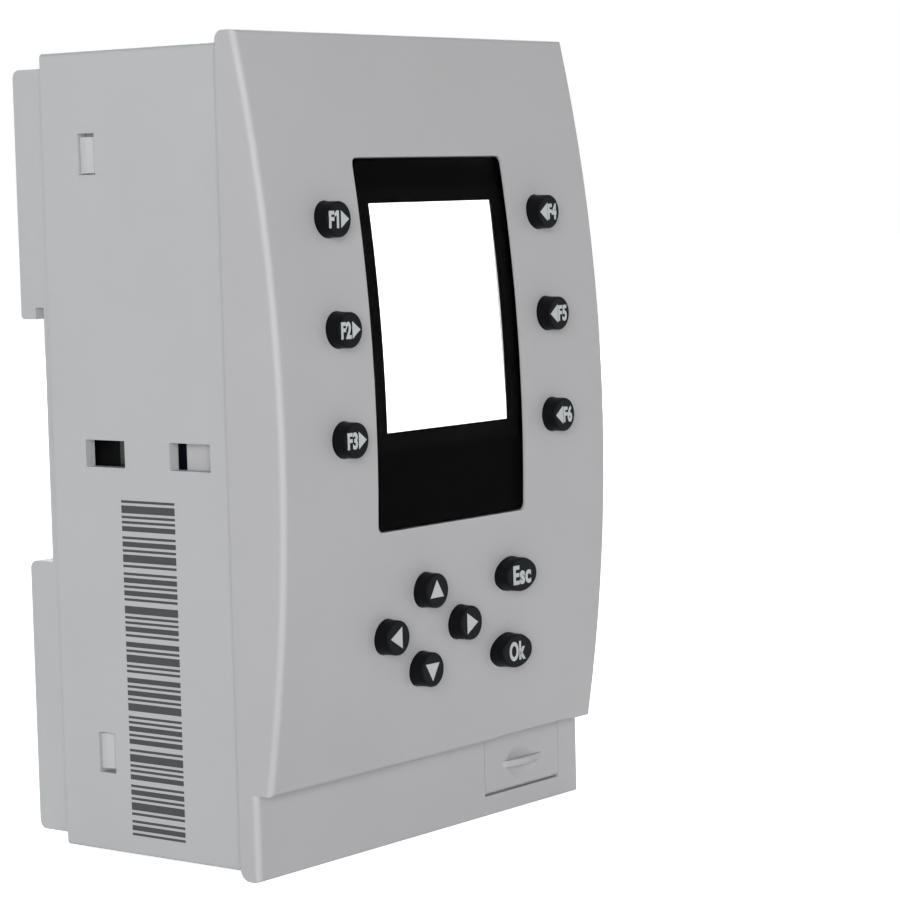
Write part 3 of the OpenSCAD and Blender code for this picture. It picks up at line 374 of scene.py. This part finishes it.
def printed_ink(name, colour, gloss=0.3):
    """Printed ink: even, a little darker at its pinholes and duller where it is rubbed."""
    material, tree, bsdf = new_material(name)
    marks = group_node(tree, surface_marks_group, Spot_Scale=5200, Rub_Scale=1200)
    base_colour(tree, bsdf, marks["Dust"], colour, scaled(colour, 0.8))
    roughness_from(tree, bsdf, marks["Rub"], low=0.55, high=0.68)
    bsdf.inputs["Specular IOR Level"].default_value = gloss
    return material


def metal(name, colour, roughness, line_scale=5000):
    """Drawn or plated metal with fine lines and a slightly uneven tone."""
    material, tree, bsdf = new_material(name)
    drawn = group_node(tree, drawn_metal_group, Line_Scale=line_scale)
    base_colour(tree, bsdf, drawn["Tone"], colour, scaled(colour, 0.8))
    roughness_from(tree, bsdf, drawn["Tone"], low=roughness, high=roughness + 0.12)
    bump_from(tree, bsdf, drawn["Height"], depth=0.002 * MM)
    bsdf.inputs["Metallic"].default_value = 1
    return material


def window_glass(name, colour, rim_colour):
    """Clear window with a coating against reflections, and a blackened rim."""
    material, tree, bsdf = new_material(name)
    marks = group_node(tree, surface_marks_group, Spot_Scale=700, Rub_Scale=90)
    roughness_from(tree, bsdf, marks["Rub"], low=0.0, high=0.02)
    facing = add_node(tree, "ShaderNodeSeparateXYZ", Vector=own_place(tree, "Normal")).outputs["Y"]
    clear = spread(tree, calculate(tree, "ABSOLUTE", facing), From_Min=0.3, From_Max=0.5)
    base_colour(tree, bsdf, clear, rim_colour, colour)
    bsdf.inputs["Transmission Weight"].default_value = 1
    bsdf.inputs["IOR"].default_value = 1.04
    return material


def lit_screen(name, colour, brightness):
    """Lit display panel, with the fine rows of its picture elements."""
    material, tree, bsdf = new_material(name)
    rows = add_node(tree, "ShaderNodeTexWave", {"bands_direction": "Z"},
                    Vector=own_place(tree), Scale=2200).outputs["Fac"]
    light = blend_colours(tree, rows, scaled(colour, 0.98), colour)
    tree.links.new(light, bsdf.inputs["Emission Color"])
    tree.links.new(light, bsdf.inputs["Base Color"])
    bsdf.inputs["Emission Strength"].default_value = brightness
    bsdf.inputs["Roughness"].default_value = 0.3
    return material


def circuit_board(name, colour):
    """Solder mask over copper tracks, which show as raised paler lines."""
    material, tree, bsdf = new_material(name)
    upright = add_node(tree, "ShaderNodeMapping", Vector=own_place(tree),
                       Rotation=(math.pi / 2, 0, 0)).outputs[0]
    tracks = add_node(tree, "ShaderNodeTexBrick", {"offset": 0.37, "squash": 1.6},
                      Vector=upright, Scale=260, Mortar_Size=0.05,
                      Mortar_Smooth=0.3).outputs["Fac"]
    base_colour(tree, bsdf, tracks, colour, scaled(colour, 1.7, lift=0.01))
    bump_from(tree, bsdf, tracks, depth=0.03 * MM)
    bsdf.inputs["Roughness"].default_value = 0.32
    return material


def wound_tape(name, colour):
    """Insulating tape wound over the coil, with the edge of each turn."""
    material, tree, bsdf = new_material(name)
    turns = add_node(tree, "ShaderNodeTexWave", {"bands_direction": "Y"},
                     Vector=own_place(tree), Scale=110, Distortion=0.6).outputs["Fac"]
    base_colour(tree, bsdf, turns, scaled(colour, 0.82), colour)
    bump_from(tree, bsdf, turns, depth=0.05 * MM)
    bsdf.inputs["Roughness"].default_value = 0.28
    return material


def finish(material, *nodes):
    """Gives CAD nodes one material, in their slots."""
    for name in nodes:
        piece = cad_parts[name]
        piece.data.materials.clear()
        piece.data.materials.append(material)


# Meshes

def add_object(name, data):
    """An object in the scene that shows a mesh, curve, lamp or camera."""
    made = bpy.data.objects.new(name, data)
    bpy.context.scene.collection.objects.link(made)
    return made


def object_from(name, bm, material):
    """Turns a bmesh, placed in the shared frame, into an object with one material."""
    mesh = bpy.data.meshes.new(name)
    bm.to_mesh(mesh)
    bm.free()
    mesh.materials.append(material)
    return add_object(name, mesh)


def new_piece(name, bm, material, body):
    """A piece of the object that rides on a body and takes a slot's finish."""
    piece = object_from(name, bm, material)
    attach(piece, body)
    return piece


def add_plate(bm, outline, place, thickness):
    """A thin plate from an outline of (across, up) points, with its front at place, facing -Y."""
    rear = [bm.verts.new(place + Vector((x, thickness, z))) for x, z in outline]
    front = [bm.verts.new(place + Vector((x, 0, z))) for x, z in outline]
    bm.faces.new(front)
    bm.faces.new(reversed(rear))
    count = len(outline)
    for i in range(count):
        j = (i + 1) % count
        bm.faces.new((front[i], rear[i], rear[j], front[j]))


def extent(curve):
    """Lowest and highest corner of a curve's own points."""
    points = [p.co for spline in curve.splines for p in (spline.bezier_points or spline.points)]
    return [Vector([pick(p[i] for p in points) for i in range(3)]) for pick in (min, max)]


def add_word(bm, word, place, width, height, thickness, gain):
    """Bold narrow letters, fitted to a width and a height, facing -Y as a plate does."""
    text = bpy.data.curves.new("letters", "FONT")
    text.body = word
    text.size = LETTER_SIZE
    text.space_character = LETTER_SPACING
    text.resolution_u = LETTER_CURVE_STEPS
    letters = add_object("letters", text)
    curve = letters.to_curve(bpy.context.evaluated_depsgraph_get()).copy()
    low, high = extent(curve)
    fit = Matrix.Diagonal(((width - 2 * gain) / (high.x - low.x),
                           (height - 2 * gain) / (high.y - low.y), 1, 1))
    curve.transform(fit @ Matrix.Translation(-(low + high) / 2))
    curve.offset, curve.extrude, curve.fill_mode = gain, thickness / 2, "BOTH"
    outline = add_object("outline", curve)
    solid = outline.evaluated_get(bpy.context.evaluated_depsgraph_get())
    mesh = bpy.data.meshes.new_from_object(solid)
    mesh.transform(Matrix.Translation(place + Vector((0, thickness / 2, 0)))
                   @ Matrix.Rotation(math.pi / 2, 4, "X"))
    bm.from_mesh(mesh)
    for item in (letters, outline):
        bpy.data.objects.remove(item)
    for item in (text, curve):
        bpy.data.curves.remove(item)
    bpy.data.meshes.remove(mesh)


def arrow(across, up, half_length, half_base, direction):
    """Corners of an arrow that points along a direction, as (across, up) points."""
    turn_x, turn_y = direction
    return [(across + x * turn_x - y * turn_y, up + x * turn_y + y * turn_x)
            for x, y in ((half_length, 0), (-half_length, half_base), (-half_length, -half_base))]


def figure_one(across, width, height):
    """Outline of a 1 with its flag, which the built-in letters lack, as (across, up) points."""
    left, right, top = across - width / 2, across + width / 2, height / 2
    stem = right - 0.52 * width
    flag_tip, flag_foot, flag_root = (top - share * height for share in (0.17, 0.36, 0.27))
    return [(right, -top), (right, top), (stem, top), (left, flag_tip),
            (left, flag_foot), (stem, flag_root), (stem, -top)]


def key_front(node):
    """Middle of a key's front face."""
    low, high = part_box(node)
    return Vector(((low.x + high.x) / 2, low.y, (low.z + high.z) / 2))


# Operators

class RELAY_OT_case(bpy.types.Operator):
    """Give the cover, its flap, the sleeve and the rear shell their moulded plastic"""
    bl_idname = "relay.case"
    bl_label = "Case"

    def execute(self, context):
        look = context.scene.relay.case
        texture = {"roughness": look.roughness, "grain_size": look.grain_size,
                   "grain_depth": look.grain_depth, "mottle": look.mottle}
        cover = moulded_plastic("cover_plastic", look.cover_colour, **texture)
        finish(cover, "front_cover", "port_cover")
        housing = moulded_plastic("housing_plastic", look.housing_colour, **texture)
        finish(housing, "main_housing", "rear_housing")
        return {"FINISHED"}


class RELAY_OT_display(bpy.types.Operator):
    """Give the window, its printed border, the screen and its tray their finishes"""
    bl_idname = "relay.display"
    bl_label = "Display"

    def execute(self, context):
        look = context.scene.relay.display
        finish(window_glass("display_glass", look.glass_colour, look.border_colour),
               "display_lens")
        finish(printed_ink("border_ink", look.border_colour, gloss=0.02), "display_mask")
        finish(lit_screen("lit_screen", look.screen_colour, look.brightness), "screen_module")
        finish(moulded_plastic("tray_plastic", display_colour(232, 232, 228), roughness=0.5),
               "screen_holder")
        return {"FINISHED"}


class RELAY_OT_keys(bpy.types.Operator):
    """Give the twelve keys their dark satin plastic"""
    bl_idname = "relay.keys"
    bl_label = "Keys"

    def execute(self, context):
        look = context.scene.relay.keys
        caps = moulded_plastic("key_plastic", look.cap_colour, roughness=0.46,
                               grain_size=0.09 * MM, grain_depth=0.004 * MM,
                               mottle=0.25, gloss=0.07)
        finish(caps, *KEYS)
        return {"FINISHED"}


class RELAY_OT_legends(bpy.types.Operator):
    """Print the arrows, numbers and words on the keys"""
    bl_idname = "relay.legends"
    bl_label = "Key legends"

    def execute(self, context):
        look = context.scene.relay.keys
        ink = printed_ink("legend_ink", look.legend_colour)
        self.function_keys(look, ink)
        for name, (x, z) in ARROW_KEYS.items():
            pointer = arrow(across=ARROW_SHIFT * x + ARROW_ASIDE, up=ARROW_SHIFT * z,
                            half_length=1.25 * MM, half_base=1.52 * MM, direction=(x, z))
            self.print_on(look, ink, "key_" + name, [pointer])
        self.print_on(look, ink, "key_esc", [], "Esc",
                      across=-0.1 * MM, width=4.3 * MM, height=look.word_height)
        self.print_on(look, ink, "key_ok", [], "Ok",
                      across=-0.2 * MM, width=3.75 * MM, height=look.word_height)
        return {"FINISHED"}

    def function_keys(self, look, ink):
        """A number and an arrow towards the display on each key beside it."""
        rightward = arrow(across=1.08 * MM, up=0, half_length=0.84 * MM, half_base=1.2 * MM,
                          direction=(1, 0))
        leftward = arrow(across=-1.38 * MM, up=0, half_length=0.88 * MM, half_base=1.35 * MM,
                         direction=(-1, 0))
        one = figure_one(across=-0.63 * MM, width=0.9 * MM, height=look.number_height)
        self.print_on(look, ink, "key_f1", [one, rightward], "F",
                      across=-1.68 * MM, width=1.16 * MM, height=look.number_height)
        for name in ("f2", "f3"):
            self.print_on(look, ink, "key_" + name, [rightward], name.upper(),
                          across=-1.03 * MM, width=2.2 * MM, height=look.number_height)
        for name in ("f4", "f5", "f6"):
            self.print_on(look, ink, "key_" + name, [leftward], name.upper(),
                          across=0.66 * MM, width=2.2 * MM, height=look.number_height)

    def print_on(self, look, ink, node, outlines, word=None, across=0, width=0, height=0):
        """One key's print: outlines of (across, up) points, and a word at its place and size."""
        front = key_front(node) - Vector((0, look.ink_thickness, 0))
        depth = LEGEND_DEPTH * look.ink_thickness
        bm = bmesh.new()
        if word:
            add_word(bm, word, front + Vector((across, 0, 0)), width, height, depth,
                     look.stroke_gain)
        for outline in outlines:
            add_plate(bm, outline, front, depth)
        new_piece(node + "_legend", bm, ink, node + "_body")


class RELAY_OT_stripes(bpy.types.Operator):
    """Print the block of plain stripes on the sleeve's left side"""
    bl_idname = "relay.stripes"
    bl_label = "Side stripes"

    def execute(self, context):
        look = context.scene.relay.stripes
        middle = SLEEVE_HIGH.y - look.rear - look.length / 2
        low = SLEEVE_LOW.z + look.low
        high = low + look.height
        bm = bmesh.new()
        foot, count = low, 0
        while foot < high - look.module:
            width = look.module * STRIPE_WIDTHS[count % len(STRIPE_WIDTHS)]
            top = min(foot + width, high)
            place = Matrix.Translation((SLEEVE_LOW.x, middle, (foot + top) / 2))
            size = Matrix.Diagonal((2 * look.thickness, look.length, top - foot, 1))
            bmesh.ops.create_cube(bm, size=1, matrix=place @ size)
            foot = top + look.module * STRIPE_GAPS[count % len(STRIPE_GAPS)]
            count += 1
        new_piece("side_stripes", bm, printed_ink("stripe_ink", look.colour), "housing")
        return {"FINISHED"}


class RELAY_OT_terminals(bpy.types.Operator):
    """Give the terminal plugs, their headers, the screws and the pins their finishes"""
    bl_idname = "relay.terminals"
    bl_label = "Terminals"

    def execute(self, context):
        finish(moulded_plastic("terminal_plastic", display_colour(52, 54, 56), roughness=0.45),
               "plug_top", "plug_bottom", "header_top", "header_bottom")
        finish(metal("zinc_plate", display_colour(200, 202, 204), roughness=0.28), *SCREWS)
        finish(metal("tinned_copper", display_colour(206, 200, 182), roughness=0.24),
               "header_pins_top", "header_pins_bottom")
        return {"FINISHED"}


class RELAY_OT_port(bpy.types.Operator):
    """Give the socket behind the flap and the gold contacts their finishes"""
    bl_idname = "relay.port"
    bl_label = "Port"

    def execute(self, context):
        finish(moulded_plastic("socket_plastic", display_colour(34, 35, 37), roughness=0.4),
               "port_jack")
        finish(metal("gold_plate", display_colour(222, 184, 96), roughness=0.2),
               "port_contacts", "link_header")
        return {"FINISHED"}


class RELAY_OT_rail_clip(bpy.types.Operator):
    """Finish the rail clip, and make the coil of its spring as a smooth-shaded copy that rides on
    the housing
    """
    bl_idname = "relay.rail_clip"
    bl_label = "Rail clip"

    def execute(self, context):
        finish(moulded_plastic("clip_plastic", display_colour(44, 45, 47), roughness=0.42),
               "rail_clip")
        steel = metal("spring_steel", display_colour(176, 178, 182), roughness=0.22,
                      line_scale=9000)
        coil = new_piece("clip_spring_coil", self.smooth_copy("clip_spring"), steel,
                         "housing")
        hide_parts("clip_spring")
        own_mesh(coil)
        return {"FINISHED"}

    def smooth_copy(self, name):
        """A CAD node's mesh in the shared frame, with its faces shaded smooth."""
        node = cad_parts[name]
        bm = bmesh.new()
        bm.from_mesh(node.data)
        bm.transform(node.matrix_world)
        for face in bm.faces:
            face.smooth = True
        return bm


class RELAY_OT_boards(bpy.types.Operator):
    """Give the circuit boards and everything that is soldered to them their finishes"""
    bl_idname = "relay.boards"
    bl_label = "Boards"

    def execute(self, context):
        finish(circuit_board("solder_mask", display_colour(9, 24, 17)),
               "front_board", "main_board")
        finish(moulded_plastic("relay_case_plastic", display_colour(40, 52, 72), roughness=0.38),
               *RELAYS)
        finish(moulded_plastic("chip_resin", display_colour(30, 30, 32), roughness=0.55),
               "optocouplers", "controller_chip", "key_switches", "link_socket")
        finish(moulded_plastic("potted_case", display_colour(10, 10, 11), roughness=0.6,
                               gloss=0.15), "supply_module")
        finish(moulded_plastic("shrink_film", display_colour(30, 34, 66), roughness=0.22),
               "capacitors")
        finish(moulded_plastic("ferrite", display_colour(58, 58, 60), roughness=0.7),
               "transformer_core")
        finish(wound_tape("coil_tape", display_colour(214, 168, 62)), "transformer_coil")
        return {"FINISHED"}


class RELAY_OT_stage(bpy.types.Operator):
    """Set the pale floor, the soft lamps, the world and the camera"""
    bl_idname = "relay.stage"
    bl_label = "Stage"

    def execute(self, context):
        look = context.scene.relay.stage
        self.floor(look)
        for name, (place, size) in LAMPS.items():
            self.lamp(name + "_lamp", place, size, getattr(look, name + "_power"))
        self.world(context, look.ambient)
        self.camera(context, look)
        return {"FINISHED"}

    def floor(self, look):
        """A dull floor that looks white to the camera and keeps the object's shadow."""
        material, tree, bsdf = new_material("floor_paint")
        marks = group_node(tree, surface_marks_group, Spot_Scale=60, Rub_Scale=4)
        base_colour(tree, bsdf, marks["Rub"], look.floor_colour,
                    scaled(look.floor_colour, 0.99))
        bsdf.inputs["Roughness"].default_value = 0.9
        bsdf.inputs["Specular IOR Level"].default_value = 0.1
        bsdf.inputs["Emission Color"].default_value = (1, 1, 1, 1)
        lift = calculate(tree, "MULTIPLY", seen_directly(tree), look.floor_lift)
        tree.links.new(lift, bsdf.inputs["Emission Strength"])
        bm = bmesh.new()
        bmesh.ops.create_grid(bm, x_segments=1, y_segments=1, size=FLOOR_REACH)
        piece = object_from("floor", bm, material)
        piece.location.z = CAD_BOX[0][2]

    def lamp(self, name, place, size, power):
        """A square lamp that faces the middle of the object."""
        light = bpy.data.lights.new(name, "AREA")
        light.size, light.energy = size, power
        made = add_object(name, light)
        made.location = place
        made.rotation_euler = (LAMP_TARGET - made.location).to_track_quat("-Z", "Y").to_euler()

    def world(self, context, level):
        """Plain light all round, and white where camera, gloss or glass look past the object."""
        world = bpy.data.worlds.new("studio")
        world.use_nodes = True
        context.scene.world = world
        tree = world.node_tree
        tree.nodes.clear()
        light, white = (add_node(tree, "ShaderNodeBackground", Color=(1, 1, 1, 1),
                                 Strength=strength).outputs[0] for strength in (level, 1.0))
        mix = tree.nodes.new("ShaderNodeMixShader")
        for socket, value in zip(mix.inputs, (seen_directly(tree), light, white)):
            tree.links.new(value, socket)
        add_node(tree, "ShaderNodeOutputWorld", Surface=mix.outputs[0])

    def camera(self, context, look):
        """The camera at the photograph's viewing angle."""
        heading, tilt, roll = look.camera_turn
        data = bpy.data.cameras.new("camera")
        data.sensor_width, data.lens = SENSOR_WIDTH, look.lens
        data.clip_start = NEAREST_SEEN
        made = add_object("camera", data)
        turn = (Euler((0, 0, -heading)).to_matrix() @ Euler((math.pi / 2 + tilt, 0, 0)).to_matrix()
                @ Euler((0, 0, roll)).to_matrix())
        made.matrix_world = Matrix.Translation(look.camera_place) @ turn.to_4x4()
        context.scene.camera = made
        context.scene.view_settings.view_transform = "Standard"


OPERATORS = (RELAY_OT_case, RELAY_OT_display, RELAY_OT_keys, RELAY_OT_legends, RELAY_OT_stripes,
             RELAY_OT_terminals, RELAY_OT_port, RELAY_OT_rail_clip, RELAY_OT_boards, RELAY_OT_stage)


class RELAY_PT_looks(bpy.types.Panel):
    """Lists the operators and their settings"""
    bl_idname = "RELAY_PT_looks"
    bl_label = "Logic Relay"
    bl_space_type = "VIEW_3D"
    bl_region_type = "UI"
    bl_category = "Logic Relay"

    def draw(self, context):
        layout = self.layout
        for operator in OPERATORS:
            layout.operator(operator.bl_idname)
        settings = context.scene.relay
        for name in ("case", "keys", "display", "stripes", "stage"):
            group = getattr(settings, name)
            box = layout.box()
            box.label(text=name.title())
            for field in group.bl_rna.properties:
                if field.identifier not in {"rna_type", "name"}:
                    box.prop(group, field.identifier)


CLASSES = (RelayCaseSettings, RelayKeySettings, RelayDisplaySettings, RelayStripeSettings,
           RelayStageSettings, RelaySettings, *OPERATORS, RELAY_PT_looks)


def register():
    for cls in CLASSES:
        bpy.utils.register_class(cls)
    bpy.types.Scene.relay = PointerProperty(type=RelaySettings)


def unregister():
    del bpy.types.Scene.relay
    for cls in reversed(CLASSES):
        bpy.utils.unregister_class(cls)


def main():
    register()
    for name in ("case", "display", "keys", "legends", "stripes", "terminals", "port", "rail_clip",
                 "boards", "stage"):
        getattr(bpy.ops.relay, name)()


if __name__ == "__main__":
    main()
